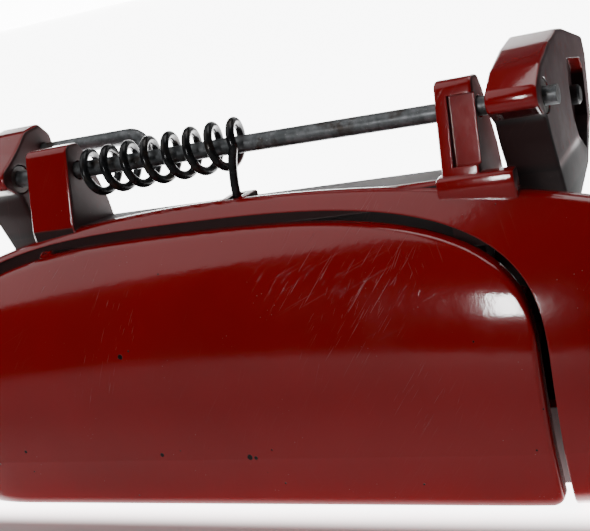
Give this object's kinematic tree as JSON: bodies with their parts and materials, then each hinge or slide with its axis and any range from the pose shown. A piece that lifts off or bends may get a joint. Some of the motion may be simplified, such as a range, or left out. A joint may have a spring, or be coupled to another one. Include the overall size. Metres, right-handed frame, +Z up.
{
  "type": "car door exterior handle",
  "caption": "Painted exterior car door handle: a cast base with finger well and key lock, and a spring-returned pull flap that swings on a hinge pin.",
  "frame": {"origin": "on the base's flat rear face, on the strip below the finger well, in line with the middle between the two pin towers", "axes": "+X along the handle to its lock end, +Y into the door, +Z up towards the hinge pin"},
  "size_m": [0.2036, 0.0638, 0.0819],
  "materials": {
    "red_paint": "gloss deep red paint over die-cast zinc, lightly scratched",
    "phosphated_steel": "dark grey phosphate, satin",
    "spring_wire": "black oiled spring wire, semi-gloss",
    "zinc_plate": "yellowish zinc plate",
    "black_rubber": "matt moulded rubber",
    "gasket_rubber": "matt cellular rubber",
    "white_nylon": "natural nylon",
    "bright_casting": "bright zinc casting, turned face",
    "stainless_cap": "polished stainless",
    "black_nylon": "black nylon"
  },
  "bodies": {
    "base": {"handle_base": "red_paint", "flap_buffer_left": "black_rubber", "flap_buffer_right": "black_rubber", "gasket_left": "gasket_rubber", "gasket_right": "gasket_rubber", "stud_left": "zinc_plate", "stud_right": "zinc_plate", "washer_left": "zinc_plate", "washer_right": "zinc_plate", "nut_left": "zinc_plate", "nut_right": "zinc_plate", "lock_barrel": "bright_casting", "lock_fork_clip": "phosphated_steel", "return_spring": "spring_wire"},
    "flap": {"pull_flap": "red_paint", "hinge_pin": "phosphated_steel", "pin_bush_left": "white_nylon", "pin_bush_right": "white_nylon"},
    "latch_rod_clip": {"rod_clip": "black_nylon"},
    "lock_cylinder": {"lock_plug": "bright_casting", "lock_lever": "zinc_plate", "lever_clip": "phosphated_steel"},
    "key_shutter": {"lock_shutter": "stainless_cap"},
    "lock_rod_swivel": {"lock_rod_clip": "black_nylon"}
  },
  "joints": [
    {"name": "flap_pivot", "type": "hinge", "parent": "base", "child": "flap", "pos_m": [0, 0.005, 0.0692], "axis": [-1, 0, 0], "range_deg": [0, 24], "stiffness_Nm_per_rad": 0.24, "springref_deg": -68.75, "deforming": ["return_spring"]},
    {"name": "latch_clip_swing", "type": "hinge", "parent": "flap", "child": "latch_rod_clip", "pos_m": [0.0539, 0.035, 0.0632], "axis": [1, 0, 0], "range_deg": [-40, 40]},
    {"name": "lock_turn", "type": "hinge", "parent": "base", "child": "lock_cylinder", "pos_m": [0.08, 0, 0.0292], "axis": [0, 1, 0], "range_deg": [-75, 75], "stiffness_Nm_per_rad": 0.03},
    {"name": "shutter_swing", "type": "hinge", "parent": "lock_cylinder", "child": "key_shutter", "pos_m": [0.08, -0.01185, 0.02995], "axis": [1, 0, 0], "range_deg": [0, 78], "stiffness_Nm_per_rad": 0.0004, "springref_deg": -17.19},
    {"name": "lock_clip_swing", "type": "hinge", "parent": "lock_cylinder", "child": "lock_rod_swivel", "pos_m": [0.08, 0.0356, 0.0097], "axis": [0, 1, 0], "range_deg": [-60, 60]}
  ]
}
